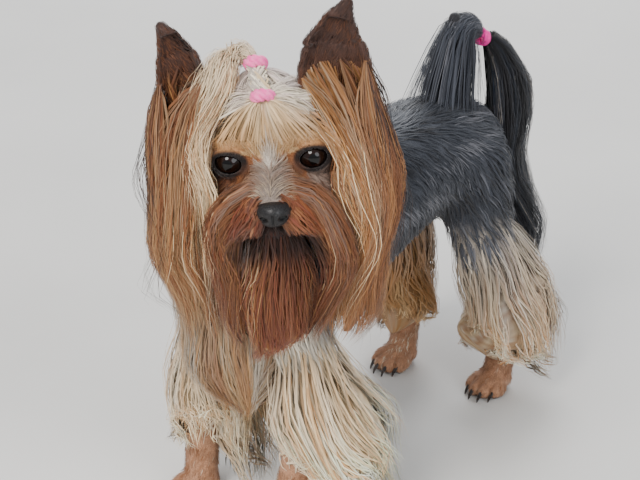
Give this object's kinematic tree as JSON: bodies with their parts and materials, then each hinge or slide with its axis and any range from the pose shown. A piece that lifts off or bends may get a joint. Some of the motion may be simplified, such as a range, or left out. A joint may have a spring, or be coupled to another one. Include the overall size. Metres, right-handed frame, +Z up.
{
  "type": "yorkshire terrier model",
  "caption": "Life-size still model of a standing Yorkshire terrier with a long combed coat, hair tied up in pink bands, head turned to its left.",
  "frame": {"origin": "on the floor, at the middle of the whole outline seen from above", "axes": "+Z up, -Y towards the chest and head, +X to the dog's left"},
  "size_m": [0.1456, 0.2982, 0.2912],
  "materials": {
    "eye": "dark brown, wet gloss",
    "claw": "dark horn",
    "nose": "black, finely pebbled",
    "band": "pink, satin",
    "foot_hair": "short tan hair",
    "ear_hair": "short dark brown hair",
    "steel_coat": "short steel blue hair",
    "tail_coat": "long black and silver hair",
    "topknot_hair": "long pale gold hair",
    "gold_coat": "long golden tan hair",
    "face_hair": "long tan hair",
    "beard_hair": "long red brown hair",
    "cream_coat": "long cream hair"
  },
  "bodies": {
    "root": {"beard": "beard_hair", "chest_coat": "cream_coat", "claw_fore_left_1": "claw", "claw_fore_left_2": "claw", "claw_fore_left_3": "claw", "claw_fore_left_4": "claw", "claw_fore_right_1": "claw", "claw_fore_right_2": "claw", "claw_fore_right_3": "claw", "claw_fore_right_4": "claw", "claw_hind_left_1": "claw", "claw_hind_left_2": "claw", "claw_hind_left_3": "claw", "claw_hind_left_4": "claw", "claw_hind_right_1": "claw", "claw_hind_right_2": "claw", "claw_hind_right_3": "claw", "claw_hind_right_4": "claw", "ear_left": "ear_hair", "ear_right": "ear_hair", "eye_left": "eye", "eye_right": "eye", "face_fall_left": "gold_coat", "face_fall_right": "gold_coat", "fore_lower_left": "cream_coat", "fore_lower_right": "cream_coat", "fore_upper_left": "gold_coat", "fore_upper_right": "gold_coat", "hind_lower_left": "cream_coat", "hind_lower_right": "gold_coat", "jaw": "beard_hair", "moustache_left": "face_hair", "moustache_right": "face_hair", "muzzle": "face_hair", "neck": "gold_coat", "nose": "nose", "paw_fore_left": "foot_hair", "paw_fore_right": "foot_hair", "paw_hind_left": "foot_hair", "paw_hind_right": "foot_hair", "skull": "gold_coat", "tail_band": "band", "tail_dock": "tail_coat", "tail_fall": "tail_coat", "tail_gather": "tail_coat", "thigh_left": "steel_coat", "thigh_right": "steel_coat", "topknot": "topknot_hair", "topknot_band_high": "band", "topknot_band_low": "band", "topknot_fall": "topknot_hair", "trunk_front": "steel_coat", "trunk_rear": "steel_coat"}
  },
  "joints": []
}
